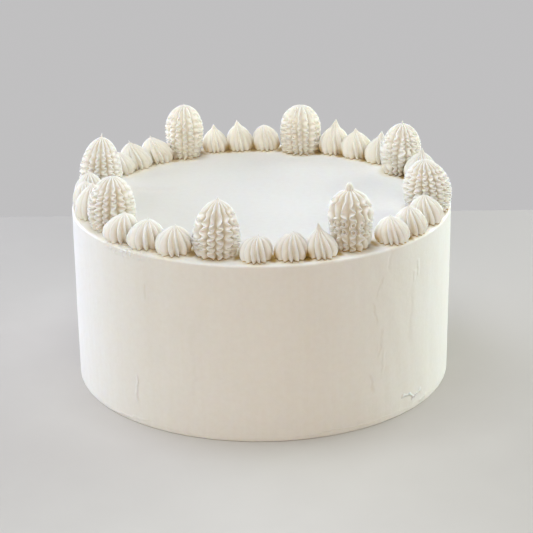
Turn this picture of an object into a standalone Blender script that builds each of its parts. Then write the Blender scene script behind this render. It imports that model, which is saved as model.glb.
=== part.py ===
"""A round layer cake under smooth white frosting, with a ring of piped frosting on top.

The ring has eight tall ruffled mounds, with three small star drops between each two.
Metres, +Z up. The origin is the middle of the cake's foot, and -Y is its front.
"""

import math
from typing import NamedTuple

import bmesh
import bpy
from mathutils import Vector

MM = 0.001

# The cake
CAKE_RADIUS = 114.0 * MM
CAKE_HEIGHT = 106.0 * MM
RIM_ROUNDING = 2.5 * MM
CAKE_SIDES = 96
ROUNDING_STEPS = 3

# What every piped piece shares
RESTING_GAP = 0.3 * MM
NEIGHBOUR_GAP = 0.3 * MM
PRESS_SOFTNESS = 0.35 * MM
FLUTE_DEPTH = 0.16
SHARP_ANGLE = math.radians(35.0)

# Star drops: a tucked foot, a belly low down and a dome drawn up to a tip
DROP_RIBS = 12
DROP_FOOT = 0.82
DROP_BELLY = 0.28
DROP_LEVELS = (0.0, 0.22, 0.48, 0.70, 0.87, 0.97)
DROP_TWIST = math.radians(16.0)

# Ruffled mounds: an egg whose ribs run straight at the top and zigzag lower down
MOUND_RIBS = 13
MOUND_LEVELS = (0.0, 0.055, 0.11, 0.17, 0.23, 0.30, 0.37, 0.45, 0.55, 0.68, 0.82, 0.93, 0.985)
MOUND_ZIGZAG = math.radians(4.4)
MOUND_TIER_BULGE = 0.035
ZIGZAG_END = 0.60


class Piped(NamedTuple):
    """Where one piped piece stands on the cake's top, and its own uneven size and outline."""

    angle: float
    place: float
    half_width: float
    height: float
    peak: float
    lean: tuple[float, float]
    belly: float = DROP_BELLY
    foot: float = DROP_FOOT


# Each row: degrees round the cake (270 is the front), then millimetres: from the cake's axis
# to the piece, half its width, its height, how much of that is the drawn peak, and how far
# its tip leans to +X and +Y. The mounds' rows end with the level of the belly and the half
# width at the foot, both as shares.
MOUNDS = (
    Piped(208.5, 98.0, 14.5, 31.0, 1.0, (1.0, 0.0), 0.32, 0.84),
    Piped(254.9, 97.0, 14.0, 33.0, 2.0, (1.5, 0.0), 0.30, 0.84),
    Piped(300.0, 98.5, 14.0, 37.5, 4.5, (-1.0, 0.0), 0.40, 0.78),
    Piped(346.9, 100.5, 15.0, 31.0, 1.0, (-2.5, 0.0), 0.36, 0.84),
    Piped(389.5, 101.0, 13.5, 33.5, 2.5, (1.0, 0.5), 0.40, 0.82),
    Piped(435.0, 101.5, 14.0, 31.0, 0.5, (0.0, 0.0), 0.44, 0.88),
    Piped(479.0, 102.5, 13.0, 35.0, 1.0, (0.5, 0.0), 0.50, 0.78),
    Piped(526.5, 101.4, 14.0, 35.5, 3.0, (2.0, 0.5), 0.20, 0.94),
)

DROPS = (
    (Piped(220.5, 104.5, 11.0, 16.0, 1.0, (3.0, 0.5)),
     Piped(230.5, 102.5, 11.0, 16.5, 1.5, (2.5, 0.5)),
     Piped(241.5, 102.5, 11.0, 16.0, 1.0, (1.5, 0.0))),
    (Piped(268.0, 103.5, 9.8, 15.0, 2.0, (2.0, 0.0)),
     Piped(278.7, 102.8, 10.0, 16.0, 1.5, (2.0, 0.0)),
     Piped(288.2, 104.0, 9.8, 19.0, 3.0, (-2.0, 0.5))),
    (Piped(313.5, 106.0, 10.5, 15.3, 1.0, (-1.2, 0.5)),
     Piped(323.0, 105.5, 10.2, 16.3, 1.0, (-1.0, 0.5)),
     Piped(334.4, 105.0, 10.8, 17.4, 1.5, (-1.5, 0.5))),
    (Piped(360.0, 103.5, 9.8, 16.0, 1.5, (0.5, 0.0)),
     Piped(369.5, 104.0, 10.2, 19.0, 2.0, (-0.5, 0.5)),
     Piped(379.0, 104.5, 10.6, 20.0, 2.5, (1.0, 0.0))),
    (Piped(403.5, 105.0, 10.2, 20.0, 3.0, (1.5, 0.0)),
     Piped(413.5, 105.0, 11.0, 18.7, 2.0, (-1.0, 0.0)),
     Piped(423.0, 105.5, 10.8, 22.0, 4.0, (1.5, 0.5))),
    (Piped(448.0, 104.5, 9.5, 16.0, 0.5, (-1.5, 0.5)),
     Piped(457.5, 104.5, 9.5, 19.5, 2.5, (-2.0, 0.5)),
     Piped(466.5, 105.5, 9.0, 17.5, 2.5, (-1.0, 0.5))),
    (Piped(489.5, 104.5, 11.0, 16.0, 1.0, (-5.0, 2.0)),
     Piped(499.5, 104.5, 10.7, 17.0, 1.5, (-5.0, 1.5)),
     Piped(508.0, 105.0, 10.0, 13.5, 0.5, (-1.0, 0.5))),
    (Piped(537.5, 104.0, 9.5, 18.0, 1.5, (0.5, 0.0)),
     Piped(546.5, 104.0, 9.5, 17.5, 1.5, (-1.5, 0.5)),
     Piped(556.5, 104.5, 9.5, 22.0, 1.5, (2.5, 0.0))),
)

FROSTING_COLOUR = (0.86, 0.82, 0.74, 1.0)
PIPING_COLOUR = (0.90, 0.86, 0.76, 1.0)
FROSTING_ROUGHNESS = 0.45


def frosting(name, colour):
    """A plain frosting material."""
    material = bpy.data.materials.new(name)
    material.use_nodes = True
    shader = material.node_tree.nodes["Principled BSDF"]
    shader.inputs["Base Color"].default_value = colour
    shader.inputs["Roughness"].default_value = FROSTING_ROUGHNESS
    shader.inputs["Metallic"].default_value = 0.0
    return material


def add_node(name, bm, material):
    """Makes the bmesh an object of its own, shaded smooth between its sharp edges."""
    mesh = bpy.data.meshes.new(name)
    bm.to_mesh(mesh)
    bm.free()
    mesh.shade_smooth()
    mesh.set_sharp_from_angle(angle=SHARP_ANGLE)
    mesh.materials.append(material)
    obj = bpy.data.objects.new(name, mesh)
    bpy.context.scene.collection.objects.link(obj)


def frosted_cake(material):
    """The uncut cake: a drum of cake under frosting, its top rim softly rounded."""
    bm = bmesh.new()
    bmesh.ops.create_cone(bm, cap_ends=True, segments=CAKE_SIDES, radius1=CAKE_RADIUS,
                          radius2=CAKE_RADIUS, depth=CAKE_HEIGHT)
    bmesh.ops.translate(bm, verts=bm.verts, vec=(0.0, 0.0, CAKE_HEIGHT / 2.0))
    rim = [edge for edge in bm.edges if all(v.co.z > CAKE_HEIGHT / 2.0 for v in edge.verts)]
    bmesh.ops.bevel(bm, geom=rim, offset=RIM_ROUNDING, offset_type="OFFSET", affect="EDGES",
                    segments=ROUNDING_STEPS, profile=0.5, material=-1)
    add_node("frosted_cake", bm, material)


def half_width(level, piped):
    """Half width at a level of the dome, as a share of the widest: tucked in below the belly."""
    if level < piped.belly:
        return piped.foot + (1.0 - piped.foot) * math.sin(math.pi / 2.0 * level / piped.belly)
    up = (level - piped.belly) / (1.0 - piped.belly)
    return math.sqrt(1.0 - up ** 2)


class Form(NamedTuple):
    """What all the pieces of one kind share: their ribs, the levels of their rings and their folds."""

    ribs: int
    levels: tuple[float, ...]
    twist: float
    zigzag: float
    tier_bulge: float

    def side(self, level, ring):
        """Which way a ring of the ruffles folds, or 0 where the ribs run straight."""
        if level > ZIGZAG_END:
            return 0
        return 1 if ring % 2 else -1

    def turn(self, level, ring):
        """How far the ribs are turned at a level: a slow twist, and to and fro in the ruffles."""
        return self.twist * (1.0 - level) + self.zigzag * self.side(level, ring)

    def swell(self, level, ring):
        """How far the folds stand out in tiers, as a factor on the half width."""
        return 1.0 + self.tier_bulge * self.side(level, ring)


STAR_DROP = Form(ribs=DROP_RIBS, levels=DROP_LEVELS, twist=DROP_TWIST, zigzag=0.0, tier_bulge=0.0)
RUFFLED_MOUND = Form(
    ribs=MOUND_RIBS, levels=MOUND_LEVELS, twist=0.0, zigzag=MOUND_ZIGZAG, tier_bulge=MOUND_TIER_BULGE)


def centre_of(piped):
    """The middle of a piece's foot, on the cake's top."""
    angle = math.radians(piped.angle)
    return Vector((math.cos(angle), math.sin(angle))) * piped.place * MM


def pressed(offset, towards, limit):
    """Moves a point back where the neighbour stands, softly, so that the two press flat."""
    reach = offset.dot(towards)
    short_of_limit = (limit - reach) / PRESS_SOFTNESS
    moved = limit - PRESS_SOFTNESS * math.log1p(math.exp(short_of_limit))
    return offset + towards * (moved - reach)


def press_limit(piped, neighbour):
    """Direction to a neighbour, and how far the piece may reach that way."""
    apart = centre_of(neighbour) - centre_of(piped)
    spare = apart.length - (piped.half_width + neighbour.half_width) * MM
    limit = piped.half_width * MM + min(spare, 0.0) / 2.0 - NEIGHBOUR_GAP / 2.0
    return apart.normalized(), limit


def piped_piece(name, piped, neighbours, form, material):
    """One ribbed piece of piping, shaped level by level from its foot to its tip."""
    segments = 2 * form.ribs
    rings = len(form.levels)
    dome = (piped.height - piped.peak) * MM
    limits = [press_limit(piped, neighbour) for neighbour in neighbours]
    lean = Vector(piped.lean) * MM
    centre = centre_of(piped)
    foot = CAKE_HEIGHT + RESTING_GAP

    bm = bmesh.new()
    bmesh.ops.create_uvsphere(bm, u_segments=segments, v_segments=rings + 1, radius=1.0)
    for vert in bm.verts:
        ring = round((rings + 1) * (0.5 + math.asin(max(-1.0, min(1.0, vert.co.z))) / math.pi))
        if ring == 0:
            vert.co = (*centre, foot)
            continue
        if ring > rings:
            vert.co = (*(centre + lean), foot + piped.height * MM)
            continue
        level = form.levels[ring - 1]
        around = math.atan2(vert.co.y, vert.co.x)
        in_flute = round(around / (2.0 * math.pi) * segments) % 2
        width = piped.half_width * MM * half_width(level, piped) * form.swell(level, ring)
        width *= 1.0 - FLUTE_DEPTH * in_flute
        direction = around + form.turn(level, ring) + math.radians(piped.angle)
        offset = Vector((math.cos(direction), math.sin(direction))) * width + lean * level ** 2
        for towards, limit in limits:
            offset = pressed(offset, towards, limit)
        vert.co = (*(centre + offset), foot + dome * level)
    add_node(name, bm, material)


def ring_of_piping(material):
    """The whole ring, each mound followed by its three drops."""
    order = []
    for place, (mound, drops) in enumerate(zip(MOUNDS, DROPS)):
        order.append((f"ruffled_mound_{place + 1}", mound, RUFFLED_MOUND))
        for number, drop in enumerate(drops, start=len(drops) * place + 1):
            order.append((f"star_drop_{number:02d}", drop, STAR_DROP))
    for index, (name, piped, form) in enumerate(order):
        neighbours = (order[index - 1][1], order[(index + 1) % len(order)][1])
        piped_piece(name, piped, neighbours, form, material)


def main():
    """Clears the scene and builds the cake."""
    for old in list(bpy.data.objects):
        bpy.data.objects.remove(old, do_unlink=True)
    frosted_cake(frosting("smooth_frosting", FROSTING_COLOUR))
    ring_of_piping(frosting("piped_frosting", PIPING_COLOUR))


main()
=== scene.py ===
"""Looks of a round layer cake: smooth frosting, and a ring of piped mounds and star drops on top."""

import logging
import math
from dataclasses import dataclass, field
from enum import Enum

import bmesh
import bpy
import numpy as np
from mathutils import Matrix, Vector


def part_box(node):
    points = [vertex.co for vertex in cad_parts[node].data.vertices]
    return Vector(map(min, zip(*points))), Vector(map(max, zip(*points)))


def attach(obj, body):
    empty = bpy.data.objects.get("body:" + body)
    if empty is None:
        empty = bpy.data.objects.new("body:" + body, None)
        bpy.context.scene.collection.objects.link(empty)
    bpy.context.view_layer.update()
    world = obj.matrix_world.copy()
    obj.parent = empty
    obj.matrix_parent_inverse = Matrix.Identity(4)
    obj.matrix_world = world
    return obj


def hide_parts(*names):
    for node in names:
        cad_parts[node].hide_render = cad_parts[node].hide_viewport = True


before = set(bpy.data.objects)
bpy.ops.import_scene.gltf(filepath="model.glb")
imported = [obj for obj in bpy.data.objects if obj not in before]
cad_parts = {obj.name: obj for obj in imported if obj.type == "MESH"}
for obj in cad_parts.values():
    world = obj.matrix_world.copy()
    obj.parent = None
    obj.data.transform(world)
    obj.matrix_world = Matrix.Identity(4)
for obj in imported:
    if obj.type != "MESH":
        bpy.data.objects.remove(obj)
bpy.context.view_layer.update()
LOG = logging.getLogger("layer_cake")

MM = 0.001
IMAGE_SIZE = 533
BODY = "root"

CAKE_RADIUS = 114.0 * MM
CAKE_HEIGHT = 106.0 * MM
TURN = 2.0 * math.pi

Triple = tuple[float, float, float]
Span = tuple[float, float]
Socket = bpy.types.NodeSocket


class Slot(Enum):
    """The record's material slots."""

    SMOOTH = "smooth_frosting"
    PIPED = "piped_frosting"


class Fold(Enum):
    """Names of the attributes that the materials read."""

    DEPTH = "fold_depth"
    RISE = "fold_rise"
    # These two say where painted shade goes.
    CREVICE = "fold_crevice"
    BESIDE_SHADE = "fold_beside_shade"


def smooth_step(low: float, high: float, value: np.ndarray) -> np.ndarray:
    """Eases values from 0 at low, which may lie above high, to 1 at high."""
    share = np.clip((value - low) / (high - low), 0.0, 1.0)
    return share * share * (3.0 - 2.0 * share)


@dataclass
class Unevenness:
    """Soft random waves round a circle, the same on every run.

    Attributes:
        seed: Seed of the random draw.
        waves: How many waves round the circle the finest one has.
    """

    seed: int
    waves: int = 6
    strength: np.ndarray = field(init=False)
    phase: np.ndarray = field(init=False)

    def __post_init__(self) -> None:
        """Draws the strength and the phase of each wave."""
        rng = np.random.default_rng(self.seed)
        self.strength = rng.normal(size=self.waves) / math.sqrt(self.waves)
        self.phase = rng.uniform(0.0, TURN, size=self.waves)

    def at(self, around: np.ndarray, drift: np.ndarray | float = 0.0) -> np.ndarray:
        """The waves' sum at some angles.

        Args:
            around: Angles in radians.
            drift: Shifts the waves, each by its own amount, such as with height.

        Returns:
            Values of about -1 to 1.
        """
        total = np.zeros_like(around)
        for wave in range(self.waves):
            angle = (wave + 1) * around + self.phase[wave] + (wave + 1.7) * drift
            total += self.strength[wave] * np.sin(angle)
        return total


@dataclass(frozen=True)
class Pattern:
    """A soft random pattern in object space, by its waves a metre along X, Y and Z."""

    waves: Triple
    octaves: float
    roughness: float = 0.5


class NodeSheet:
    """A material's node tree, with short ways to add and link nodes."""

    def __init__(self, name: str) -> None:
        """Starts a material with its Principled shader and its object coordinates.

        Args:
            name: The material's name.
        """
        self.material = bpy.data.materials.new(name)
        self.material.use_nodes = True
        self.tree = self.material.node_tree
        self.shader = self.tree.nodes["Principled BSDF"]
        self.place = self.add("ShaderNodeTexCoord", {}).outputs["Object"]
        self.across, self.back, self.up = self.add("ShaderNodeSeparateXYZ", {"Vector": self.place}).outputs

    def add(self, kind: str, inputs: dict[int | str, object], **properties: str) -> bpy.types.Node:
        """Adds a node.

        Args:
            kind: The node's type name.
            inputs: A socket to link, or a value, for inputs by their name or number.
            properties: The node's own properties.

        Returns:
            The new node.
        """
        node = self.tree.nodes.new(kind)
        for key, value in properties.items():
            setattr(node, key, value)
        for key, value in inputs.items():
            if isinstance(value, Socket):
                self.tree.links.new(value, node.inputs[key])
            else:
                node.inputs[key].default_value = value
        return node

    def dress(self, key: str, source: Socket) -> None:
        """Links a socket to an input of the shader."""
        self.tree.links.new(source, self.shader.inputs[key])

    def noise(self, pattern: Pattern) -> Socket:
        """Draws a pattern, whose values lie mostly between 0.3 and 0.7."""
        place = self.add("ShaderNodeMapping", {"Vector": self.place, "Scale": pattern.waves}).outputs[0]
        values = {"Vector": place, "Scale": 1.0, "Detail": pattern.octaves, "Roughness": pattern.roughness}
        return self.add("ShaderNodeTexNoise", values).outputs["Fac"]

    def attribute(self, fold: Fold) -> Socket:
        """The value socket of a mesh attribute."""
        return self.add("ShaderNodeAttribute", {}, attribute_name=fold.value).outputs["Fac"]

    def ramp(self, source: Socket, low: float, high: float, bottom: float = 0.0, top: float = 1.0,
             kind: str = "LINEAR") -> Socket:
        """Maps low, which may lie above high, to bottom, and high to top, and clamps what lies past them."""
        values = {"Value": source, "From Min": low, "From Max": high, "To Min": bottom, "To Max": top}
        return self.add("ShaderNodeMapRange", values, interpolation_type=kind).outputs["Result"]

    def ease(self, source: Socket, low: float, high: float) -> Socket:
        """Eases a value from 0 at low, which may lie above high, to 1 at high."""
        return self.ramp(source, low, high, kind="SMOOTHSTEP")

    def math(self, operation: str, first: Socket, second: Socket | float = 0.0) -> Socket:
        """Works on one value or two, as the Math node's operation says."""
        return self.add("ShaderNodeMath", {0: first, 1: second}, operation=operation).outputs[0]

    def plus(self, first: Socket, second: Socket | float) -> Socket:
        """The sum of two values."""
        return self.math("ADD", first, second)

    def times(self, first: Socket, second: Socket | float) -> Socket:
        """The product of two values."""
        return self.math("MULTIPLY", first, second)

    def against(self, operation: str, point: Socket, fixed: Vector, result: str = "Value") -> Socket:
        """Sets points against a fixed vector, as the Vector Math node's operation says."""
        node = self.add("ShaderNodeVectorMath", {0: point, 1: fixed}, operation=operation)
        return node.outputs[result]

    def mix(self, share: Socket, first: Socket | Triple, second: Socket | Triple) -> Socket:
        """Mixes two colours by the share of the second."""
        ends = (colour if isinstance(colour, Socket) else (*colour, 1.0) for colour in (first, second))
        values = dict(zip(("Factor", 6, 7), (share, *ends)))
        return self.add("ShaderNodeMix", values, data_type="RGBA").outputs[2]

    def bump(self, height: Socket, distance: float, strength: float, under: Socket | None = None) -> Socket:
        """Bumps the surface by a height.

        Args:
            height: The height socket, from 0 to 1.
            distance: What a height of 1 stands for, in metres.
            strength: How strongly it shows.
            under: A coarser bump below this one.

        Returns:
            The bumped normal socket.
        """
        values = {"Height": height, "Distance": distance, "Strength": strength}
        if under is not None:
            values["Normal"] = under
        return self.add("ShaderNodeBump", values).outputs["Normal"]


@dataclass(frozen=True)
class Frosting:
    """What both frostings share: a soft, slightly see-through satin cream.

    Attributes:
        roughness: How matt it is.
        specular: How strongly it shines.
        depth: How far light goes into it, in metres.
        through: How much of its light has been inside it.
        through_colour: How far red, green and blue go, as shares of the depth.
        left: Where along X the cake's left, lit more strongly and in cooler light, ends, and where its middle
            starts.
        far: Where along Y the cake's far half starts, and where it is reached.
        shade_left: How much of the painted shade in the crevices shows at the left, where more light falls.
        shade_far: How much of it shows at the far side.
    """

    roughness: float = 0.48
    specular: float = 0.42
    depth: float = 1.6 * MM
    through: float = 0.25
    through_colour: Triple = (1.0, 0.72, 0.42)
    left: Span = (-75.0 * MM, -30.0 * MM)
    far: Span = (0.0, 80.0 * MM)
    shade_left: float = 0.40
    shade_far: float = 0.90

    def start(self, name: str) -> NodeSheet:
        """Makes a material with the constants set.

        Args:
            name: The material's name.

        Returns:
            The node sheet to finish.
        """
        sheet = NodeSheet(name)
        sockets = sheet.shader.inputs
        sockets["Roughness"].default_value = self.roughness
        sockets["Specular IOR Level"].default_value = self.specular
        sockets["Subsurface Weight"].default_value = self.through
        sockets["Subsurface Radius"].default_value = self.through_colour
        sockets["Subsurface Scale"].default_value = self.depth
        return sheet

    def shade_share(self, sheet: NodeSheet) -> Socket:
        """How much of the painted crevice shade shows at each place: less at the well-lit left and at the far
        side.
        """
        at_left = sheet.ramp(sheet.across, *self.left, self.shade_left, 1.0)
        return sheet.times(at_left, sheet.ramp(sheet.back, *self.far, 1.0, self.shade_far))


@dataclass(frozen=True)
class ScraperMark:
    """One mark that the scraper left on the cake.

    Attributes:
        angle: Degrees round the cake; 270 is the front.
        height: Millimetres from the foot up to its middle.
        half_length: Half its length, in millimetres.
        half_width: Half its width, in millimetres.
        tilt: Degrees by which its length leans over to the right.
        relief: How far it stands out, from -1, a groove, to 1, a ridge.
        shade: How much darker and warmer the frosting is in it.
        reach: Millimetres from the axis to a mark on the top, or 0 for one on the side.
        gleam: How strongly a painted highlight shows in it.
    """

    angle: float
    height: float
    half_length: float
    half_width: float
    tilt: float = 0.0
    relief: float = 1.0
    shade: float = 0.0
    reach: float = 0.0
    gleam: float = 0.0

    def middle(self) -> Vector:
        """Its place on the cake.

        Returns:
            Its middle, in metres.
        """
        around = math.radians(self.angle)
        reach = self.reach * MM or CAKE_RADIUS
        return Vector((math.cos(around) * reach, math.sin(around) * reach, self.height * MM))

    def directions(self) -> tuple[Vector, Vector, Vector]:
        """Its own length, width and outward directions.

        Returns:
            Three unit vectors.
        """
        around = math.radians(self.angle)
        outward = Vector((math.cos(around), math.sin(around), 0.0))
        sideways = Vector((-math.sin(around), math.cos(around), 0.0))
        upright = Vector((0.0, 0.0, 1.0))
        if self.reach:
            outward, upright = upright, -outward
        lean = math.radians(self.tilt)
        along = upright * math.cos(lean) + sideways * math.sin(lean)
        return along, sideways * math.cos(lean) - upright * math.sin(lean), outward


@dataclass(frozen=True)
class SmoothFinish(Frosting):
    """Frosting scraped smooth, with faint streaks down the side and smears on top.

    Each span of places or heights says where something starts, and where it is full.

    Attributes:
        mark_height: How far a mark with a relief of 1 stands out.
        wander: How far the marks' lines wander to each side.
        foot_line: Height of the faint line round the foot.
        crumbs_angle: Degrees round the cake to the crumbs on the rim.
        cloud_share: How much of the side's patches comes from its clouds; the rest comes from its streaks.
        cream: How much of the painted shade beside the piping shows at the left, and elsewhere.
        spots: How shaded the grain's spots are.
    """

    pale: Triple = (0.885, 0.855, 0.79)
    warm: Triple = (0.865, 0.825, 0.745)
    # The top is painted paler than the side, as painted light, and darker at its left, as painted shade.
    top: Triple = (0.935, 0.92, 0.875)
    shaded_top_left: Triple = (0.80, 0.775, 0.71)
    # Painted shade on the top close to a piped foot.
    beside_piping_shade: Triple = (0.855, 0.775, 0.60)
    # Painted shade, darker, where the top lies between two piped feet.
    crevice: Triple = (0.42, 0.25, 0.03)
    shaded: Triple = (0.74, 0.68, 0.58)
    # Colour of the crumbs, and of the painted highlights where the marks gleam.
    crumb_and_highlight: Triple = (0.95, 0.935, 0.90)
    clouds: Pattern = Pattern((22.0, 22.0, 14.0), 3.0)
    streaks: Pattern = Pattern((260.0, 260.0, 9.0), 3.0, 0.6)
    bands: Pattern = Pattern((95.0, 95.0, 5.0), 2.0)
    wavering: Pattern = Pattern((90.0, 90.0, 90.0), 3.0, 0.6)
    flakes: Pattern = Pattern((480.0, 480.0, 480.0), 2.0)
    grain: Pattern = Pattern((330.0, 330.0, 330.0), 4.0, 0.62)
    marks: tuple[ScraperMark, ...] = (
        ScraperMark(230.4, 22.0, 11.0, 1.6, relief=1.7),
        ScraperMark(226.0, 2.6, 27.0, 1.1, tilt=83.3, relief=0.9),
        ScraperMark(303.2, 69.0, 9.0, 1.7, tilt=-10.0, relief=-0.4, shade=0.3),
        ScraperMark(304.8, 84.0, 9.0, 1.7, tilt=22.0, relief=-0.35, shade=0.2),
        ScraperMark(308.6, 100.0, 10.0, 1.7, tilt=4.0, relief=-0.35, shade=0.15),
        ScraperMark(305.2, 50.0, 12.0, 1.7, tilt=14.0, relief=-0.35, shade=0.2),
        ScraperMark(302.4, 27.0, 8.0, 1.7, tilt=-7.0, relief=-0.35, shade=0.3),
        ScraperMark(321.0, 88.0, 6.0, 1.7, relief=1.0),
        ScraperMark(319.2, 84.0, 4.0, 1.5, tilt=5.0, relief=0.8),
        ScraperMark(317.5, 61.0, 23.0, 3.2, tilt=2.0, relief=-0.3, shade=0.2),
        # These three marks carry painted highlights, a glossy gleam.
        ScraperMark(316.5, 11.3, 5.0, 1.3, tilt=96.0, relief=2.6, gleam=0.9),
        ScraperMark(318.8, 9.6, 3.6, 1.3, tilt=140.0, relief=2.6, gleam=0.9),
        ScraperMark(321.3, 9.0, 6.0, 1.3, tilt=66.0, relief=2.6, gleam=0.8),
        ScraperMark(325.0, 3.6, 5.0, 2.0, tilt=70.0, relief=1.6),
        ScraperMark(306.5, 38.5, 8.5, 1.4, tilt=3.0, relief=0.5),
        ScraperMark(235.0, 84.0, 6.0, 1.6, relief=-0.5, shade=0.2),
        ScraperMark(250.0, 45.0, 32.0, 3.0, tilt=1.0, relief=0.0, shade=0.15),
        ScraperMark(236.0, 66.0, 40.0, 9.0, relief=0.0, shade=0.12),
        ScraperMark(163.0, 106.0, 18.0, 8.0, tilt=-17.0, relief=-0.4, shade=0.16, reach=70.0),
    )
    mark_height: float = 0.35 * MM
    mark_depth: Span = (-14.0 * MM, -10.0 * MM)
    wander: float = 1.6 * MM
    foot_line: float = 2.8 * MM
    foot_line_width: float = 0.7 * MM
    foot_line_relief: float = 0.7
    crumbs_angle: float = 227.5
    crumbs_reach: float = 24.0 * MM
    crumbs_height: Span = (CAKE_HEIGHT - 6.0 * MM, CAKE_HEIGHT - 2.5 * MM)
    crumbs_relief: float = 1.7
    crumbs_pale: float = 0.8
    cloud_share: float = 0.6
    patches: Span = (0.36, 0.66)
    top_height: Span = (CAKE_HEIGHT - 2.2 * MM, CAKE_HEIGHT - 0.4 * MM)
    top_turn: Span = (-90.0 * MM, 70.0 * MM)
    cream: Span = (0.50, 0.75)
    spots: float = 0.13

    def marked(self, sheet: NodeSheet, wander: Socket) -> tuple[Socket, ...]:
        """Adds up what the marks do to the frosting.

        Args:
            sheet: The material's node sheet.
            wander: How far the marks' lines wander, in metres.

        Returns:
            The sockets of their relief, their shade and their gleam.
        """
        sums: dict[str, Socket] = {}
        for mark in self.marks:
            away = sheet.against("SUBTRACT", sheet.place, mark.middle(), "Vector")
            length, width, out = (sheet.against("DOT_PRODUCT", away, way) for way in mark.directions())
            width = sheet.math("ABSOLUTE", sheet.plus(width, wander))
            strength = sheet.ease(width, mark.half_width * MM, 0.0)
            half = mark.half_length * MM
            strength = sheet.times(strength, sheet.ease(sheet.math("ABSOLUTE", length), half, 0.5 * half))
            strength = sheet.times(strength, sheet.ease(out, *self.mark_depth))
            for effect in ("relief", "shade", "gleam"):
                amount = getattr(mark, effect)
                if amount:
                    part = sheet.times(strength, amount)
                    sums[effect] = sheet.plus(sums[effect], part) if effect in sums else part
        return sums["relief"], sums["shade"], sums["gleam"]

    def crumbs(self, sheet: NodeSheet) -> Socket:
        """Scatters a few crumbs on the rim.

        Args:
            sheet: The material's node sheet.

        Returns:
            The socket that is 1 where crumbs lie and 0 elsewhere.
        """
        angle = math.radians(self.crumbs_angle)
        middle = Vector((CAKE_RADIUS * math.cos(angle), CAKE_RADIUS * math.sin(angle), CAKE_HEIGHT))
        away = sheet.against("DISTANCE", sheet.place, middle)
        near = sheet.ease(away, self.crumbs_reach, 0.3 * self.crumbs_reach)
        near = sheet.times(near, sheet.ease(sheet.up, *self.crumbs_height))
        return sheet.times(near, sheet.ramp(sheet.noise(self.flakes), 0.52, 0.62))

    def material(self) -> bpy.types.Material:
        """Makes the material.

        Returns:
            The scraped frosting.
        """
        sheet = self.start(Slot.SMOOTH.value)
        clouds = sheet.noise(self.clouds)
        streaks = sheet.noise(self.streaks)
        grain = sheet.noise(self.grain)
        wander = sheet.ramp(sheet.noise(self.wavering), 0.25, 0.75, -self.wander, self.wander)
        relief, shade, gleam = self.marked(sheet, wander)
        from_line = sheet.math("ABSOLUTE", sheet.plus(sheet.plus(sheet.up, wander), -self.foot_line))
        line = sheet.ease(from_line, self.foot_line_width, 0.0)
        line = sheet.times(line, sheet.ramp(clouds, 0.4, 0.6, 0.0, self.foot_line_relief))
        crumbs = self.crumbs(sheet)
        relief = sheet.plus(sheet.plus(relief, line), sheet.times(crumbs, self.crumbs_relief))

        tone = sheet.plus(sheet.times(clouds, self.cloud_share), sheet.times(streaks, 1.0 - self.cloud_share))
        side = sheet.mix(sheet.ramp(tone, *self.patches), self.pale, self.warm)
        # Painted light and shade: the top paler than the side, and darker towards its left.
        top = sheet.mix(sheet.ease(sheet.across, *self.top_turn), self.shaded_top_left, self.top)
        colour = sheet.mix(sheet.ease(sheet.up, *self.top_height), side, top)
        # Painted shade beside the piped feet, less at the well-lit left.
        cream = sheet.times(sheet.attribute(Fold.BESIDE_SHADE), sheet.ramp(sheet.across, *self.left, *self.cream))
        colour = sheet.mix(cream, colour, self.beside_piping_shade)
        # Painted crevice shade between two feet, less at the left and at the far side.
        between = sheet.times(sheet.attribute(Fold.CREVICE), self.shade_share(sheet))
        colour = sheet.mix(between, colour, self.crevice)
        shade = sheet.plus(shade, sheet.ramp(grain, 0.35, 0.65, 0.0, self.spots))
        colour = sheet.mix(shade, colour, self.shaded)
        # Crumbs, and painted highlights where the marks gleam.
        colour = sheet.mix(sheet.plus(sheet.times(crumbs, self.crumbs_pale), gleam), colour, self.crumb_and_highlight)
        sheet.dress("Base Color", colour)
        sheet.dress("Roughness", sheet.ramp(streaks, 0.3, 0.7, self.roughness - 0.05, self.roughness + 0.08))
        broad = sheet.bump(sheet.noise(self.bands), 0.5 * MM, 0.30)
        drawn = sheet.bump(streaks, 0.12 * MM, 0.35, broad)
        marked = sheet.bump(relief, self.mark_height, 0.9, drawn)
        sheet.dress("Normal", sheet.bump(grain, 0.22 * MM, 0.5, marked))
        return sheet.material


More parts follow.
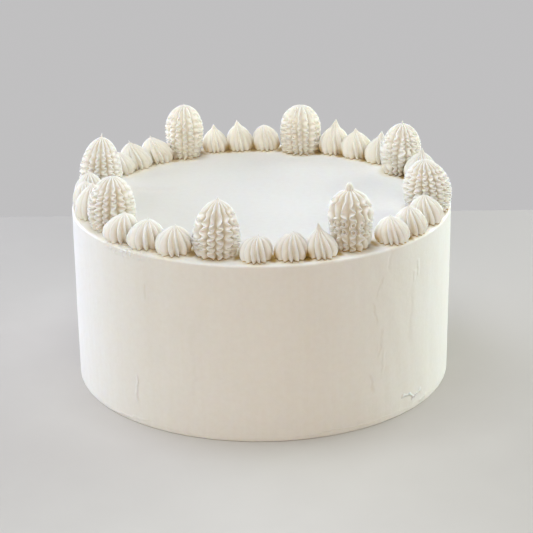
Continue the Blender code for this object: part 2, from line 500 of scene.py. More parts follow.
@dataclass(frozen=True)
class PipedFinish(Frosting):
    """Piped frosting: pale on its ridges, with darker, warmer painted shade deep in its folds, between pieces
    and at its foot.

    Attributes:
        far_turn: Where along Y the ridges start to turn to their far colour, and where they have it.
        fold_depth: The depth at which the painted shade in the folds starts.
        patchy: How much the mottle adds to it or takes away.
        foot: How high the painted shade at the foot reaches, as a share of the piece.
        between: Power that keeps the painted shade between two pieces close to where they touch.
    """

    ridge: Triple = (0.935, 0.915, 0.86)
    far_ridge: Triple = (0.92, 0.885, 0.79)
    # Painted shade: the flute colour darkens the folds, and the deep colour the crevices and the foot.
    flute: Triple = (0.625, 0.535, 0.365)
    deep: Triple = (0.50, 0.305, 0.035)
    mottle: Pattern = Pattern((160.0, 160.0, 160.0), 3.0)
    grain: Pattern = Pattern((700.0, 700.0, 700.0), 3.0, 0.6)
    far_turn: Span = (10.0 * MM, 80.0 * MM)
    fold_depth: float = 0.38
    fold_most: float = 0.95
    patchy: float = 0.12
    foot: float = 0.10
    foot_shade_most: float = 0.35
    between: float = 2.2

    def material(self) -> bpy.types.Material:
        """Makes the material.

        Returns:
            The piped frosting.
        """
        sheet = self.start(Slot.PIPED.value)
        depth = sheet.attribute(Fold.DEPTH)
        ridge = sheet.mix(sheet.ease(sheet.back, *self.far_turn), self.ridge, self.far_ridge)
        patches = sheet.ramp(sheet.noise(self.mottle), 0.35, 0.7, -self.patchy, self.patchy)
        # Painted shade deep in the flutes, mottled.
        folded = sheet.plus(sheet.ramp(depth, self.fold_depth, 1.0, 0.0, self.fold_most), patches)
        cream = sheet.mix(sheet.ramp(folded, 0.0, 1.0), ridge, self.flute)
        # Painted shade at the foot, and between two pieces, less at the well-lit left and the far side.
        foot_shade = sheet.ramp(sheet.attribute(Fold.RISE), self.foot, 0.0, 0.0, self.foot_shade_most)
        foot_shade = sheet.times(foot_shade, sheet.ramp(depth, 0.1, 0.9, 0.15, 1.0))
        between = sheet.math("POWER", sheet.attribute(Fold.CREVICE), self.between)
        crevice = sheet.times(sheet.math("MAXIMUM", foot_shade, between), self.shade_share(sheet))
        sheet.dress("Base Color", sheet.mix(crevice, cream, self.deep))
        grain = sheet.noise(self.grain)
        sheet.dress("Roughness", sheet.ramp(grain, 0.3, 0.7, self.roughness - 0.05, self.roughness + 0.07))
        sheet.dress("Normal", sheet.bump(grain, 0.08 * MM, 0.3))
        return sheet.material


def closed_shell(name: str, sides: int, rings: int) -> bpy.types.Mesh:
    """Makes a unit sphere with a point at each end, by wrapping a grid round.

    Args:
        name: The mesh's name.
        sides: Steps round it.
        rings: Rings between its two ends.

    Returns:
        The closed mesh, with its faces outwards.
    """
    bm = bmesh.new()
    bmesh.ops.create_grid(bm, x_segments=sides, y_segments=rings + 1, size=1.0)
    seam = [vert for vert in bm.verts if vert.is_boundary]
    for vert in bm.verts:
        around = math.pi * vert.co.x
        polar = math.pi / 2.0 * vert.co.y
        ring = math.cos(polar) if abs(vert.co.y) < 0.9999 else 0.0
        vert.co = (math.cos(around) * ring, math.sin(around) * ring, math.sin(polar))
    bmesh.ops.remove_doubles(bm, verts=seam, dist=0.0001)
    mesh = bpy.data.meshes.new(name)
    bm.to_mesh(mesh)
    bm.free()
    return mesh


def places(mesh: bpy.types.Mesh) -> np.ndarray:
    """The points of a mesh, one row each."""
    point = np.empty(len(mesh.vertices) * 3, np.float32)
    mesh.vertices.foreach_get("co", point)
    return point.reshape(-1, 3).astype(float)


def put_places(mesh: bpy.types.Mesh, point: np.ndarray) -> None:
    """Moves the points of a mesh to new places."""
    mesh.vertices.foreach_set("co", point.astype(np.float32).ravel())
    mesh.update()


def ring_numbers(point: np.ndarray, last: int) -> np.ndarray:
    """The ring that each point of a closed shell lies on, from 0 at its lower end to last."""
    rise = 0.5 + np.arcsin(np.clip(point[:, 2], -1.0, 1.0)) / math.pi
    return np.rint(rise * last).astype(int)


def put_fold(mesh: bpy.types.Mesh, fold: Fold, values: np.ndarray) -> None:
    """Writes one of the attributes that the materials read."""
    layer = mesh.attributes.new(fold.value, "FLOAT", "POINT")
    layer.data.foreach_set("value", values.astype(np.float32))


def dress(mesh: bpy.types.Mesh, name: str, material: bpy.types.Material,
          node: str) -> bpy.types.Object:
    """Makes a finished mesh a smooth-shaded piece that rides on the cake in a node's stead.

    Args:
        mesh: The finished mesh.
        name: The piece's name.
        material: Its finish.
        node: The CAD node that it stands for.

    Returns:
        The piece.
    """
    mesh.name = name
    mesh.shade_smooth()
    mesh.materials.append(material)
    piece = bpy.data.objects.new(name, mesh)
    bpy.context.scene.collection.objects.link(piece)
    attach(piece, BODY)
    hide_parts(node)
    LOG.info("%s: %d points", name, len(mesh.vertices))
    return piece


@dataclass(frozen=True)
class Piped:
    """Where one piped piece stands on the cake's top, and its own uneven size.

    Attributes:
        angle: Degrees round the cake; 270 is the front.
        place: Millimetres from the cake's axis to the piece.
        half_width: Half its width, in millimetres.
        height: Its height with its peak, in millimetres.
        peak: How much of the height is the drawn peak, in millimetres.
        lean: How far its tip leans to +X and +Y, in millimetres.
        belly: Height of its widest place as a share of the dome, or 0 for its form's own.
        foot: Its half width at the foot as a share of the widest, or 0 for its form's own.
        ribs: Ribs round it, or 0 for its form's own number.
        peak_width: Half width of the peak's root, in millimetres.
        peak_root: Power that shapes the peak: 0.4 is a blunt knob, and 0.85 is nearly a cone.
        dome_root: Power that shapes its dome: 0.5 is round, and 1 is pointed.
        fold: Height of its waves to and fro, as a share of the usual.
        swing: How widely it waves, as a share of the usual.
        tight: How tightly it is folded in its lower half, up to 1.
        band: Levels between which it is folded tightly.
        curls: Levels at which its ridges curl into a ring.
        swell: How far its columns swell between their hollows, as a share of the usual.
    """

    angle: float
    place: float
    half_width: float
    height: float
    peak: float
    lean: Span
    belly: float = 0.0
    foot: float = 0.0
    ribs: int = 0
    peak_width: float = 1.1
    peak_root: float = 0.85
    dome_root: float = 0.62
    fold: float = 1.0
    swing: float = 1.0
    tight: float = 0.4
    band: Span = (0.15, 0.40)
    curls: tuple[float, ...] = ()
    swell: float = 1.0

    def centre(self) -> np.ndarray:
        """The middle of its foot, in metres."""
        angle = math.radians(self.angle)
        return np.array([math.cos(angle), math.sin(angle)]) * self.place * MM


@dataclass
class Outline:
    """A piece's outline, in equal steps along it from foot to tip.

    Attributes:
        height: Height above the foot, in metres.
        half: Half width there, in metres.
        level: Height as a share of the dome, up to 1.
        length: Way along the outline from the foot, in metres.
    """

    height: np.ndarray
    half: np.ndarray
    level: np.ndarray
    length: np.ndarray


@dataclass
class PipedForm:
    """A ribbed piece of piping, shaped from a closed shell ring by ring.

    Attributes:
        ribs: The usual number of ribs.
        foot: Half width at the foot, as a share of the widest.
        belly: Height of the widest place, as a share of the dome.
        flute: Depth of the flutes, as a share of the half width.
        sides: Points round the piece.
        rings: Rings from foot to tip.
        sunk: How far the foot reaches into the cake's top.
        softness: How softly two neighbours press flat.
        overlap: How far two neighbours grow into each other.
        tone: How strongly the form's flutes get darker, warmer painted shade, up to 1.
        far_pale: How much of that is lost at the cake's far side, where light comes through from behind.
        far_place: How far back the far side is.
        uneven: How unevenly wide it is, as a share of its half width.
        near: How far in from a pressed face the painted crevice shade starts, and where it is full.
        crevice_height: Height at which that painted shade starts, and where it is full.
        shell: The closed shell that its pieces are copied from, once it is made.
    """

    ribs: int
    foot: float
    belly: float
    flute: float
    sides: int
    rings: int
    sunk: float = 0.15 * MM
    softness: float = 0.30 * MM
    overlap: float = 0.35 * MM
    tone: float = 1.0
    far_pale: float = 0.25
    far_place: float = 90.0 * MM
    uneven: float = 0.012
    near: Span = (5.5 * MM, 0.8 * MM)
    crevice_height: Span = (10.0 * MM, 2.0 * MM)
    shell: bpy.types.Mesh | None = None

    def relief(self, piped: Piped, around: np.ndarray, shape: Outline, seed: int) -> np.ndarray:
        """How deep points lie below the piece's ridges; each form has its own."""
        raise NotImplementedError

    def share(self, piped: Piped, level: np.ndarray) -> np.ndarray:
        """Half width at levels of the dome, as a share of the widest.

        Args:
            piped: The piece's own sizes.
            level: Heights as shares of the dome.

        Returns:
            The shares.
        """
        belly = piped.belly or self.belly
        foot = piped.foot or self.foot
        tucked = foot + (1.0 - foot) * np.sin(math.pi / 2.0 * np.clip(level / belly, 0.0, 1.0))
        up = np.clip((level - belly) / (1.0 - belly), 0.0, 1.0)
        return np.where(level < belly, tucked, (1.0 - up ** 2) ** piped.dome_root)

    def outline(self, piped: Piped) -> Outline:
        """The piece's outline, its dome blended into its drawn peak.

        Args:
            piped: The piece's own sizes.

        Returns:
            The outline, one entry for every ring.
        """
        total = piped.height * MM
        dome_height = (piped.height - piped.peak) * MM
        height = total * (1.0 - (1.0 - np.linspace(0.0, 1.0, 3000)) ** 2.2)
        dome = piped.half_width * MM * self.share(piped, np.clip(height / dome_height, 0.0, 1.0))
        left = (total - height) / ((piped.peak + 1.0) * MM)
        peak = piped.peak_width * MM * np.clip(left, 0.0, 1.0) ** piped.peak_root
        blend = 0.35 * MM * (1.0 + piped.peak / 3.0)
        half = 0.5 * (dome + peak + np.sqrt((dome - peak) ** 2 + blend ** 2) - blend)
        half = np.maximum(half, 0.02 * MM)
        length = np.concatenate(([0.0], np.cumsum(np.hypot(np.diff(height), np.diff(half)))))
        station = np.linspace(0.0, length[-1], self.rings + 1)[:-1]
        at_height = np.interp(station, length, height)
        level = np.clip(at_height / dome_height, 0.0, 1.0)
        return Outline(at_height, np.interp(station, length, half), level, station)

    def press(self, offset: np.ndarray, piped: Piped, neighbour: Piped) -> tuple[np.ndarray, np.ndarray]:
        """Moves points back where a neighbour stands, so that the two press flat.

        Args:
            offset: Points from the piece's own middle, in metres.
            piped: The piece.
            neighbour: Its neighbour.

        Returns:
            The pressed points, and how near each is to the neighbour, from 0 to 1 where they touch.
        """
        apart = neighbour.centre() - piped.centre()
        distance = float(np.linalg.norm(apart))
        towards = apart / distance
        spare = distance - (piped.half_width + neighbour.half_width) * MM
        limit = piped.half_width * MM + min(spare, 0.0) / 2.0 + self.overlap
        reach = offset @ towards
        moved = limit - self.softness * np.logaddexp(0.0, (limit - reach) / self.softness)
        near = smooth_step(limit - self.near[0], limit - self.near[1], moved)
        return offset + np.outer(moved - reach, towards), near

    def build(self, name: str, node: str, piped: Piped, neighbours: tuple[Piped, Piped], seed: int,
              material: bpy.types.Material) -> bpy.types.Object:
        """Builds the piece and puts it in its node's place.

        Args:
            name: The piece's name.
            node: The CAD node that it stands for.
            piped: Its own place and sizes.
            neighbours: The piece before it and the piece after it.
            seed: Seed of its unevenness.
            material: Its finish.

        Returns:
            The piece.
        """
        if self.shell is None:
            self.shell = closed_shell("shell", self.sides, self.rings)
        mesh = self.shell.copy()
        point = places(mesh)
        ring = ring_numbers(point, self.rings + 1)
        around = np.arctan2(point[:, 1], point[:, 0]) + math.radians(piped.angle)
        rings = self.outline(piped)
        index = np.clip(ring - 1, 0, self.rings - 1)
        shape = Outline(rings.height[index], rings.half[index], rings.level[index], rings.length[index])
        total = piped.height * MM
        tip = ring > self.rings
        shape.height[tip] = total
        shape.half[tip | (ring == 0)] = 0.0
        at_tip = smooth_step(0.95, 1.0, shape.height / total)
        depth = self.relief(piped, around, shape, seed) * (1.0 - 0.85 * at_tip)
        shallow = shape.half / (shape.half + 0.8 * MM)
        uneven = 1.0 + self.uneven * Unevenness(seed + 500, 4).at(around, 2.5 * shape.level)
        half = shape.half * (1.0 - self.flute * shallow * depth * self.flare(shape.level)) * uneven
        lean = np.outer((shape.height / total) ** 2, np.array(piped.lean) * MM)
        offset = np.column_stack((np.cos(around), np.sin(around))) * half[:, None] + lean
        # Painted crevice shade at the very foot, and where a neighbour presses.
        crevice = smooth_step(1.2 * MM, 0.2 * MM, shape.height)
        for neighbour in neighbours:
            offset, near = self.press(offset, piped, neighbour)
            crevice = np.maximum(crevice, near * smooth_step(*self.crevice_height, shape.height))
        foot = CAKE_HEIGHT - self.sunk
        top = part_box(node)[1].z
        up = foot + shape.height / total * (top - foot)
        put_places(mesh, np.column_stack((offset + piped.centre(), up)))
        # The flutes' painted shade: fainter at the far side, where light comes through from behind, and near
        # the top.
        far = smooth_step(0.0, self.far_place, piped.centre()[1])
        tone = self.tone * (1.0 - self.far_pale * far) * (1.0 - 0.08 * smooth_step(0.50, 0.85, shape.level))
        put_fold(mesh, Fold.DEPTH, depth * tone)
        put_fold(mesh, Fold.RISE, shape.height / total)
        put_fold(mesh, Fold.CREVICE, crevice)
        return dress(mesh, name, material, node)

    def flare(self, level: np.ndarray) -> np.ndarray:
        """How much deeper the flutes are near the foot, as a factor."""
        return 1.0 + 0.40 * smooth_step(0.22, 0.0, level)


@dataclass
class StarDrop(PipedForm):
    """A small drop: thin ridges between broad flutes, rounder at its foot, drawn up to a tip.

    Attributes:
        blunt: How rounded the ridges and the grooves are.
        twist: How far the ribs turn from the tip to the foot.
    """

    ribs: int = 13
    foot: float = 0.82
    belly: float = 0.28
    flute: float = 0.37
    sides: int = 182
    rings: int = 60
    blunt: float = 0.15
    tone: float = 0.80
    twist: float = math.radians(22.0)

    def relief(self, piped: Piped, around: np.ndarray, shape: Outline, seed: int) -> np.ndarray:
        """How deep points lie below the piece's ridges, from 0 on a ridge to 1.

        Args:
            piped: The piece's own sizes.
            around: The points' angles.
            shape: The outline at the points.
            seed: Seed of the piece's unevenness.

        Returns:
            The depths.
        """
        ribs = piped.ribs or self.ribs
        turned = around - math.radians(piped.angle) - self.twist * (1.0 - shape.level)
        across = ribs * turned + 0.6 * Unevenness(seed, 5).at(around, 0.5 * shape.level)
        span = math.sqrt(1.0 + self.blunt ** 2) - self.blunt
        thin = (np.sqrt(np.sin(across / 2.0) ** 2 + self.blunt ** 2) - self.blunt) / span
        broad = 1.0 - (np.sqrt(np.cos(across / 2.0) ** 2 + self.blunt ** 2) - self.blunt) / span
        rounder = 0.12 + 0.45 * smooth_step(0.32, 0.04, shape.level)
        return thin + (broad - thin) * rounder


@dataclass
class RuffledMound(PipedForm):
    """A tall mound of fins, whose thin crests run straight at the top and fold to and fro lower down.

    Attributes:
        levels: Levels at which the next four are given, from the foot up.
        wave_pitch: Height of one wave to and fro there, in millimetres.
        wave_swing: How far a crest swings in its column there, as a share of half a column.
        column_swing: How far the columns themselves swing there, in the same way.
        bead: Half the thickness of the crest there, in millimetres.
        tight_pitch: Height of one tight fold, in millimetres.
        tight_swing: How far a tight fold reaches, as a share of half a column.
        flank: How hollow the fins' flanks are: 1 is straight, and less is hollow.
        hollow: How narrow the deep hollows between the columns are: more is narrower.
        fold_hollow: The same for the folds, which reach further out than the columns' bodies.
        curl_size: Radius of a ring where a crest curls, in millimetres.
    """

    ribs: int = 15
    foot: float = 0.84
    belly: float = 0.32
    flute: float = 0.285
    sides: int = 288
    rings: int = 230
    levels: tuple[float, ...] = (0.0, 0.10, 0.30, 0.50, 0.62, 0.75, 0.88, 1.0)
    wave_pitch: tuple[float, ...] = (6.0, 5.4, 4.6, 4.8, 5.0, 5.4, 6.0, 6.5)
    wave_swing: tuple[float, ...] = (0.50, 0.60, 0.62, 0.58, 0.52, 0.38, 0.16, 0.0)
    column_swing: tuple[float, ...] = (0.14, 0.14, 0.08, 0.08, 0.08, 0.05, 0.02, 0.0)
    bead: tuple[float, ...] = (0.75, 0.70, 0.55, 0.55, 0.55, 0.55, 0.60, 0.60)
    tight_pitch: float = 3.5
    tight_swing: float = 0.80
    flank: float = 0.90
    hollow: float = 3.2
    fold_hollow: float = 8.0
    curl_size: float = 1.3

    def relief(self, piped: Piped, around: np.ndarray, shape: Outline, seed: int) -> np.ndarray:
        """How deep points lie below the piece's ridges, from 0 on a ridge to 1.

        Args:
            piped: The piece's own sizes.
            around: The points' angles.
            shape: The outline at the points.
            seed: Seed of the piece's unevenness.

        Returns:
            The depths.
        """
        ribs = piped.ribs or self.ribs
        level = shape.level
        low, high = piped.band
        tight = piped.tight * smooth_step(low - 0.04, low + 0.03, level)
        tight = tight * smooth_step(high + 0.06, high - 0.03, level)
        pitch = np.interp(level, self.levels, self.wave_pitch) * piped.fold
        pitch = (pitch * (1.0 - tight) + self.tight_pitch * tight) * MM
        order = np.argsort(shape.length)
        turns = np.zeros_like(pitch)
        turns[order] = np.concatenate(([0.0], np.cumsum(np.diff(shape.length[order]) / pitch[order][1:])))
        phase = TURN * turns + 1.2 * Unevenness(seed + 80, 5).at(around, 1.2 * level)
        across = ribs * (around - math.radians(piped.angle))
        across = across + 0.6 * Unevenness(seed, 5).at(around, 0.8 * level)
        swaying = piped.swing * np.interp(level, self.levels, self.column_swing) * np.sin(phase - 0.6)
        across = across / TURN - swaying / 2.0
        column = np.rint(across)
        side = (across - column) * 2.0
        jitter = Unevenness(seed + 40, 5).at(column * 2.4)
        half_column = math.pi * shape.half / ribs
        phase = phase * (1.0 + 0.03 * jitter) + 0.8 * jitter
        phase = phase + 1.3 * Unevenness(seed + 60, 4).at(4.0 * level + 1.7 * column)
        swing = piped.swing * np.interp(level, self.levels, self.wave_swing) * (1.0 - tight)
        swing = swing + self.tight_swing * tight
        swing = np.minimum(swing * (1.0 + 0.25 * jitter), 0.86)
        middle = swing * np.sin(phase)
        slope = swing * half_column * TURN / pitch * np.cos(phase)
        away = np.abs(side - middle) * half_column / np.sqrt(1.0 + slope ** 2)
        fin = 1.0 - np.clip(away / half_column, 0.0, 1.0) ** self.flank
        bead = np.interp(level, self.levels, self.bead) * MM
        crest = np.exp(-(away / np.minimum(bead, 0.35 * half_column + 0.02 * MM)) ** 2)
        inside = np.zeros_like(crest)
        for curl in piped.curls:
            station = np.interp(curl, level[order], shape.length[order])
            from_middle = np.hypot(side * half_column, shape.length - station - 0.5 * MM * jitter) / MM
            ring = np.exp(-((from_middle - self.curl_size) / 0.45) ** 2)
            crest = np.where(from_middle < self.curl_size + 0.9, ring, crest)
            inside = np.maximum(inside, smooth_step(self.curl_size + 0.2, self.curl_size - 0.6, from_middle))
        column_body = 0.36 * piped.swell * (1.0 - side ** 2) + 0.22 * fin
        column_body *= (1.0 - np.abs(side) ** self.hollow) * (1.0 - 0.75 * inside)
        return 1.0 - np.clip(column_body + 0.42 * crest * (1.0 - np.abs(side) ** self.fold_hollow), 0.0, 1.0)


@dataclass
class PipingRing:
    """The ring of piping: eight mounds, each followed by three star drops."""

    mounds: tuple[Piped, ...] = (
        Piped(208.5, 98.0, 14.5, 31.0, 1.0, (1.0, 0.0), dome_root=0.50, fold=0.70, swing=0.85, tight=0.0),
        Piped(254.9, 97.0, 14.0, 33.0, 2.0, (1.5, 0.0), 0.30, ribs=14,
              peak_width=1.8, dome_root=0.57, tight=1.0),
        Piped(300.0, 98.5, 14.0, 37.5, 4.5, (-1.0, 0.0), 0.54, 0.78, ribs=14,
              peak_width=3.4, peak_root=0.45, dome_root=0.47, fold=1.25, swing=1.2, tight=0.6,
              band=(0.22, 0.44), curls=(0.50, 0.37), swell=0.72),
        Piped(346.9, 100.5, 15.0, 31.0, 1.0, (-2.5, 0.0), 0.36, ribs=16,
              dome_root=0.56, fold=0.66, swing=1.2, tight=0.1),
        Piped(389.5, 101.0, 13.5, 33.5, 2.5, (1.0, 0.5), 0.40, 0.82, dome_root=0.50, fold=0.70, tight=0.3),
        Piped(435.0, 101.5, 14.0, 31.0, 0.5, (0.0, 0.0), 0.44, 0.88,
              dome_root=0.46, fold=0.74, swing=0.70, tight=0.1),
        Piped(479.0, 102.5, 13.0, 35.0, 1.0, (0.5, 0.0), 0.50, 0.78, ribs=14,
              dome_root=0.52, fold=0.80, swing=0.85, tight=0.5),
        Piped(526.5, 101.4, 14.0, 35.5, 3.0, (2.0, 0.5), 0.20, 0.94,
              dome_root=0.55, fold=0.72, swing=0.65, tight=0.6),
    )
    drops: tuple[tuple[Piped, ...], ...] = (
        (Piped(220.5, 104.5, 11.0, 16.0, 1.0, (3.0, 0.5), dome_root=0.66),
         Piped(230.5, 102.5, 11.0, 16.5, 1.5, (2.5, 0.5), dome_root=0.60),
         Piped(241.5, 102.5, 11.0, 16.0, 1.0, (1.5, 0.0), dome_root=0.66)),
        (Piped(268.0, 103.5, 9.8, 15.0, 2.0, (2.0, 0.0), peak_width=0.7, dome_root=0.42),
         Piped(278.7, 102.8, 10.0, 16.0, 1.5, (2.0, 0.0), peak_width=0.8, dome_root=0.60),
         Piped(288.2, 104.0, 9.8, 19.0, 3.0, (-2.0, 0.5), peak_width=2.0, dome_root=1.05)),
        (Piped(313.5, 106.0, 10.5, 15.3, 1.0, (-1.2, 0.5), ribs=15, dome_root=0.68),
         Piped(323.0, 105.5, 10.2, 16.3, 1.0, (-1.0, 0.5), ribs=14, dome_root=0.68),
         Piped(334.4, 105.0, 10.8, 17.4, 1.5, (-1.5, 0.5), dome_root=0.70)),
        (Piped(360.0, 103.5, 9.8, 16.0, 1.5, (0.5, 0.0), dome_root=0.70),
         Piped(369.5, 104.0, 10.2, 19.0, 2.0, (-0.5, 0.5), dome_root=0.70),
         Piped(379.0, 104.5, 10.6, 20.0, 2.5, (1.0, 0.0), peak_width=2.4, dome_root=0.75)),
        (Piped(403.5, 105.0, 10.2, 20.0, 3.0, (1.5, 0.0), peak_width=2.6, dome_root=0.85),
         Piped(413.5, 105.0, 11.0, 18.7, 2.0, (-1.0, 0.0), peak_width=2.2, dome_root=0.80),
         Piped(423.0, 105.5, 10.8, 22.0, 4.0, (1.5, 0.5), peak_width=3.2, dome_root=0.80)),
        (Piped(448.0, 104.5, 9.5, 16.0, 0.5, (-1.5, 0.5), dome_root=0.60),
         Piped(457.5, 104.5, 9.5, 19.5, 2.5, (-2.0, 0.5), peak_width=2.4, dome_root=0.80),
         Piped(466.5, 105.5, 9.0, 17.5, 2.5, (-1.0, 0.5), peak_width=2.4, dome_root=0.80)),
        (Piped(489.5, 104.5, 11.0, 16.0, 1.0, (-5.0, 2.0), dome_root=0.80),
         Piped(499.5, 104.5, 10.7, 17.0, 1.5, (-5.0, 1.5), dome_root=0.80),
         Piped(508.0, 105.0, 10.0, 13.5, 0.5, (-1.0, 0.5), dome_root=0.75)),
        (Piped(537.5, 104.0, 9.5, 18.0, 1.5, (0.5, 0.0), dome_root=0.70),
         Piped(546.5, 104.0, 9.5, 17.5, 1.5, (-1.5, 0.5), dome_root=0.70),
         Piped(556.5, 104.5, 9.5, 22.0, 1.5, (2.5, 0.0), dome_root=0.80)),
    )
    mound_form: RuffledMound = field(default_factory=RuffledMound)
    drop_form: StarDrop = field(default_factory=StarDrop)
    finish: PipedFinish = field(default_factory=PipedFinish)

    def pieces(self) -> tuple[Piped, ...]:
        """Every mound and drop, in no special order."""
        return self.mounds + tuple(drop for drops in self.drops for drop in drops)

    def build(self) -> list[bpy.types.Object]:
        """Builds every mound and drop.

        Returns:
            The pieces, in their order round the cake.
        """
        material = self.finish.material()
        order: list[tuple[str, Piped, PipedForm]] = []
        for place, (mound, drops) in enumerate(zip(self.mounds, self.drops)):
            order.append((f"ruffled_mound_{place + 1}", mound, self.mound_form))
            for number, drop in enumerate(drops, start=len(drops) * place + 1):
                order.append((f"star_drop_{number:02d}", drop, self.drop_form))
        pieces = []
        for index, (node, piped, form) in enumerate(order):
            neighbours = (order[index - 1][1], order[(index + 1) % len(order)][1])
            pieces.append(form.build(f"piped_{node}", node, piped, neighbours, index + 1, material))
        return pieces


@dataclass
class FrostedCake:
    """The uncut cake under its smooth frosting.

    Attributes:
        top_crowding: Power that crowds the top's rings towards the rim.
        foot_share: Half width of a piped foot, as a share of the piece's.
        beside_shade_reach: How far from a piped foot the top gets painted shade.
        beside_shade_left: How much further that painted shade reaches at the left.
    """

    radius: float = CAKE_RADIUS
    height: float = CAKE_HEIGHT
    rim: float = 1.4 * MM
    foot_rounding: float = 0.8 * MM
    sides: int = 400
    side_rings: int = 70
    top_rings: int = 56
    top_crowding: float = 1.7
    streak_depth: float = 0.30 * MM
    fine_depth: float = 0.07 * MM
    smear_depth: float = 0.12 * MM
    foot_share: float = 0.84
    beside_shade_reach: float = 4.0 * MM
    beside_shade_left: float = 2.5 * MM
    finish: SmoothFinish = field(default_factory=SmoothFinish)
    piping: tuple[Piped, ...] = ()

    def outline(self) -> list[Span]:
        """The cake's half outline.

        Returns:
            Pairs of radius and height, from the foot's middle to the top's.
        """
        points = [(0.0, 0.0), (self.radius * 0.5, 0.0), (self.radius - self.foot_rounding, 0.0)]
        for step in range(1, 4):
            angle = math.radians(30.0 * step)
            points.append((self.radius - self.foot_rounding * (1.0 - math.sin(angle)),
                           self.foot_rounding * (1.0 - math.cos(angle))))
        low = self.foot_rounding
        high = self.height - self.rim
        points += [(self.radius, low + (high - low) * ring / self.side_rings)
                   for ring in range(1, self.side_rings)]
        for step in range(0, 9):
            angle = math.radians(90.0 * step / 8.0)
            points.append((self.radius - self.rim * (1.0 - math.cos(angle)),
                           high + self.rim * math.sin(angle)))
        flat = self.radius - self.rim
        points += [(flat * (1.0 - (ring / self.top_rings) ** self.top_crowding), self.height)
                   for ring in range(1, self.top_rings + 1)]
        return points

    def build(self) -> bpy.types.Object:
        """Builds the frosted cake.

        Returns:
            The piece.
        """
        outline = np.array(self.outline())
        mesh = closed_shell("cake", self.sides, len(outline) - 2)
        point = places(mesh)
        ring = ring_numbers(point, len(outline) - 1)
        around = np.arctan2(point[:, 1], point[:, 0])
        reach = outline[ring, 0]
        put_places(mesh, np.column_stack((np.cos(around) * reach, np.sin(around) * reach, outline[ring, 1])))
        self.scrape(mesh)
        self.mark_crevices(mesh)
        return dress(mesh, "scraped_frosting", self.finish.material(), "frosted_cake")

    def scrape(self, mesh: bpy.types.Mesh) -> None:
        """Gives the side its faint streaks and the top its smears, as the scraper leaves them.

        Args:
            mesh: The cake's mesh, whose points are moved by a fraction of a millimetre.
        """
        point = places(mesh)
        around = np.arctan2(point[:, 1], point[:, 0])
        reach = np.hypot(point[:, 0], point[:, 1])
        up = point[:, 2] / self.height
        out = smooth_step(0.80 * self.radius, self.radius, reach)
        broad = Unevenness(11, 7).at(around, 1.5 * up)
        fine = Unevenness(12, 60).at(around, 0.25 * up)
        inward = self.streak_depth * (1.0 - 0.5 * (1.0 + broad / 1.6)) + self.fine_depth * (1.0 - fine)
        inward = np.maximum(inward, 0.0) * out
        scale = np.where(reach > 0.0, (reach - inward) / np.maximum(reach, 1e-9), 1.0)
        on_top = smooth_step(self.height - self.rim, self.height, point[:, 2])
        smear = Unevenness(13, 5).at(reach * 140.0 + 1.1 * np.sin(around + 0.4), 0.6 * np.sin(around))
        point[:, 0] *= scale
        point[:, 1] *= scale
        point[:, 2] -= self.smear_depth * (0.5 + 0.5 * np.clip(smear, -1.0, 1.0)) * on_top
        put_places(mesh, point)

    def mark_crevices(self, mesh: bpy.types.Mesh) -> None:
        """Marks where the top gets painted shade: close to one piped foot, and more where it lies between
        two.

        Args:
            mesh: The cake's mesh, which gets the attributes.
        """
        point = places(mesh)
        gaps = [np.hypot(*(point[:, :2] - piped.centre()).T) - self.foot_share * piped.half_width * MM
                for piped in self.piping]
        first, second = np.sort(np.array(gaps), axis=0)[:2]
        on_top = smooth_step(self.height - 1.5 * MM, self.height - 0.5 * MM, point[:, 2])
        at_left = smooth_step(-30.0 * MM, -80.0 * MM, point[:, 0])
        # Painted shade also darkens the brightly lit rim at the left.
        on_rim = smooth_step(self.height - 3.0 * MM, self.height - 1.5 * MM, point[:, 2]) * at_left
        reach = self.beside_shade_reach + self.beside_shade_left * at_left
        # Painted shade beside one piped foot, and darker crevice shade between two.
        beside = smooth_step(1.0, 0.1, first / reach) * np.maximum(on_top, 0.7 * on_rim)
        between = smooth_step(4.8 * MM, 1.8 * MM, first) * smooth_step(5.2 * MM, 2.6 * MM, second) * on_top
        put_fold(mesh, Fold.BESIDE_SHADE, beside)
        put_fold(mesh, Fold.CREVICE, between)


@dataclass(frozen=True)
class Lamp:
    """A soft rectangular light.

    Attributes:
        place: Where it stands, in metres.
        size: Its width and height, in metres.
        power: Its power in watts.
        aim: Height of the point on the cake's axis that it faces, in metres.
    """

    name: str
    place: Triple
    size: Span
    power: float
    colour: Triple
    aim: float = 0.06

    def build(self) -> None:
        """Stands the light in its place, hidden from the camera."""
        data = bpy.data.lights.new(self.name, "AREA")
        data.shape = "RECTANGLE"
        data.size, data.size_y = self.size
        data.energy = self.power
        data.color = self.colour
        lamp = bpy.data.objects.new(self.name, data)
        lamp.location = self.place
        lamp.rotation_mode = "QUATERNION"
        towards = Vector((0.0, 0.0, self.aim)) - Vector(self.place)
        lamp.rotation_quaternion = towards.to_track_quat("-Z", "Y")
        lamp.visible_camera = False
        bpy.context.scene.collection.objects.link(lamp)


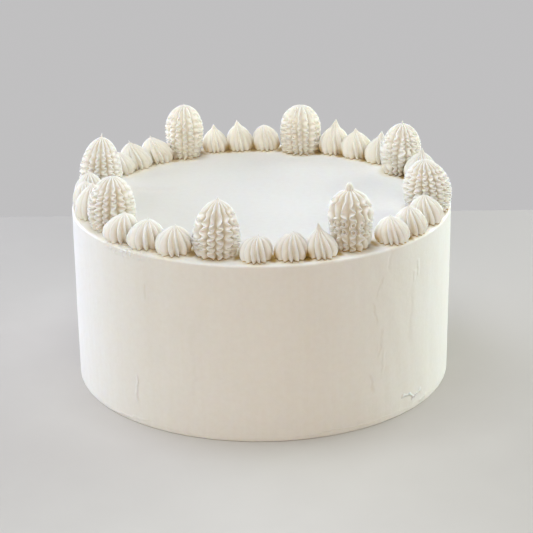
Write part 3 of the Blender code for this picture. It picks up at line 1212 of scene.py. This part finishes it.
@dataclass
class Studio:
    """The plain table top, the grey room round it, the lights and the camera.

    Attributes:
        table_turn: Where along Y the table's colour starts to turn to the front's, and where it has turned.
        table_right_shade: Where along X painted shade starts to turn the table back towards its back colour,
            and where it has turned.
        focal_pixels: Focal length in the photograph's pixels.
        distance: How far the camera stands from where it aims.
        elevation: Degrees by which it looks down.
        pan: Radians by which it turns aside.
        roll: Radians by which it rolls.
    """

    table_back: float = 0.28
    table_reach: float = 1.6
    table_thick: float = 0.03
    table_back_colour: Triple = (0.55, 0.52, 0.48)
    table_front_colour: Triple = (0.69, 0.66, 0.61)
    room: Triple = (0.53, 0.525, 0.53)
    room_glow: Triple = (0.17, 0.155, 0.147)
    table_turn: Span = (0.12, -0.25)
    table_right_shade: Span = (0.0, 0.20)
    focal_pixels: float = 1664.7
    sensor: float = 36.0
    distance: float = 8.949 * CAKE_RADIUS
    elevation: float = 20.966
    aim_height: float = 0.545 * CAKE_RADIUS
    pan: float = 0.00248
    roll: float = -0.01395
    lamps: tuple[Lamp, ...] = (
        Lamp("left_window", (-1.22, 0.10, 0.20), (0.7, 0.6), 10.4, (0.538, 0.628, 0.686)),
        Lamp("left_back_window", (-1.0, 0.80, 0.25), (0.7, 0.6), 11.8, (0.68, 0.715, 0.98)),
        Lamp("right_back_window", (0.95, 0.95, 0.50), (0.8, 0.8), 14.0, (0.617, 0.636, 0.667), aim=0.08),
        Lamp("right_window", (1.25, 0.42, 0.28), (0.7, 0.6), 12.3, (0.769, 0.912, 0.915)),
        Lamp("overhead", (-0.1, -0.1, 0.9), (0.6, 0.5), 2.9, (1.36, 1.47, 1.58), aim=0.1),
        Lamp("front_fill", (0.0, -1.5, 0.5), (1.2, 0.8), 6.3, (1.164, 1.032, 0.917)),
    )

    def table(self) -> bpy.types.Object:
        """Builds the table top that the cake stands on.

        Returns:
            The staged table top.
        """
        bm = bmesh.new()
        bmesh.ops.create_cube(bm, size=1.0)
        depth = self.table_reach + self.table_back
        bmesh.ops.scale(bm, vec=(2.0 * self.table_reach, depth, self.table_thick), verts=bm.verts)
        middle = (0.0, self.table_back - depth / 2.0, -self.table_thick / 2.0)
        bmesh.ops.translate(bm, vec=middle, verts=bm.verts)
        bmesh.ops.bevel(bm, geom=bm.edges, offset=2.0 * MM, offset_type="OFFSET", affect="EDGES", segments=3,
                        profile=0.5, material=-1)
        mesh = bpy.data.meshes.new("table_top")
        bm.to_mesh(mesh)
        bm.free()
        table = bpy.data.objects.new("table_top", mesh)
        bpy.context.scene.collection.objects.link(table)
        sheet = NodeSheet("matt_table")
        nearer = sheet.ramp(sheet.back, *self.table_turn)
        speckle = sheet.ramp(sheet.noise(Pattern((30.0, 30.0, 30.0), 4.0)), 0.3, 0.7, -0.05, 0.05)
        # Painted shade darkens the table towards its right.
        right = sheet.ramp(sheet.across, *self.table_right_shade, 0.0, -0.55)
        share = sheet.plus(sheet.plus(nearer, speckle), right)
        sheet.dress("Base Color", sheet.mix(share, self.table_back_colour, self.table_front_colour))
        sheet.shader.inputs["Roughness"].default_value = 0.7
        sheet.shader.inputs["Specular IOR Level"].default_value = 0.2
        mesh.materials.append(sheet.material)
        return table

    def lights(self) -> None:
        """Sets the grey room, and the soft lights at both sides, above and, faintly, in front."""
        world = bpy.data.worlds.new("grey_room")
        world.use_nodes = True
        tree = world.node_tree
        seen = tree.nodes["Background"]
        seen.inputs["Color"].default_value = (*self.room, 1.0)
        glow = tree.nodes.new("ShaderNodeBackground")
        glow.inputs["Color"].default_value = (*self.room_glow, 1.0)
        mixed = tree.nodes.new("ShaderNodeMixShader")
        path = tree.nodes.new("ShaderNodeLightPath")
        tree.links.new(path.outputs["Is Camera Ray"], mixed.inputs["Fac"])
        tree.links.new(glow.outputs["Background"], mixed.inputs[1])
        tree.links.new(seen.outputs["Background"], mixed.inputs[2])
        tree.links.new(mixed.outputs["Shader"], tree.nodes["World Output"].inputs["Surface"])
        bpy.context.scene.world = world
        for lamp in self.lamps:
            lamp.build()

    def camera(self) -> bpy.types.Object:
        """Stands the camera at the photograph's viewing angle.

        Returns:
            The camera.
        """
        data = bpy.data.cameras.new("camera")
        data.sensor_width = self.sensor
        data.lens = self.focal_pixels / IMAGE_SIZE * self.sensor
        data.clip_start = 0.01
        camera = bpy.data.objects.new("camera", data)
        bpy.context.scene.collection.objects.link(camera)
        rise = math.radians(self.elevation)
        forward = Vector((0.0, math.cos(rise), -math.sin(rise)))
        place = Vector((0.0, 0.0, self.aim_height)) - forward * self.distance
        right = Vector((1.0, 0.0, 0.0))
        up = right.cross(forward)
        panned = forward * math.cos(self.pan) + right * math.sin(self.pan)
        across = right * math.cos(self.pan) - forward * math.sin(self.pan)
        rolled = across * math.cos(self.roll) + up * math.sin(self.roll)
        upright = up * math.cos(self.roll) - across * math.sin(self.roll)
        turn = Matrix((rolled, upright, -panned)).transposed().to_4x4()
        camera.matrix_world = Matrix.Translation(place) @ turn
        bpy.context.scene.camera = camera
        return camera

    def build(self) -> None:
        """Sets up the table, the lights, the camera and plain colours."""
        self.table()
        self.lights()
        self.camera()
        bpy.context.scene.view_settings.view_transform = "Standard"


def main() -> None:
    """Builds the cake's pieces in order and sets up the studio."""
    logging.basicConfig(level=logging.INFO, format="%(name)s: %(message)s")
    piping = PipingRing()
    FrostedCake(piping=piping.pieces()).build()
    piping.build()
    Studio().build()


if __name__ == "__main__":
    main()
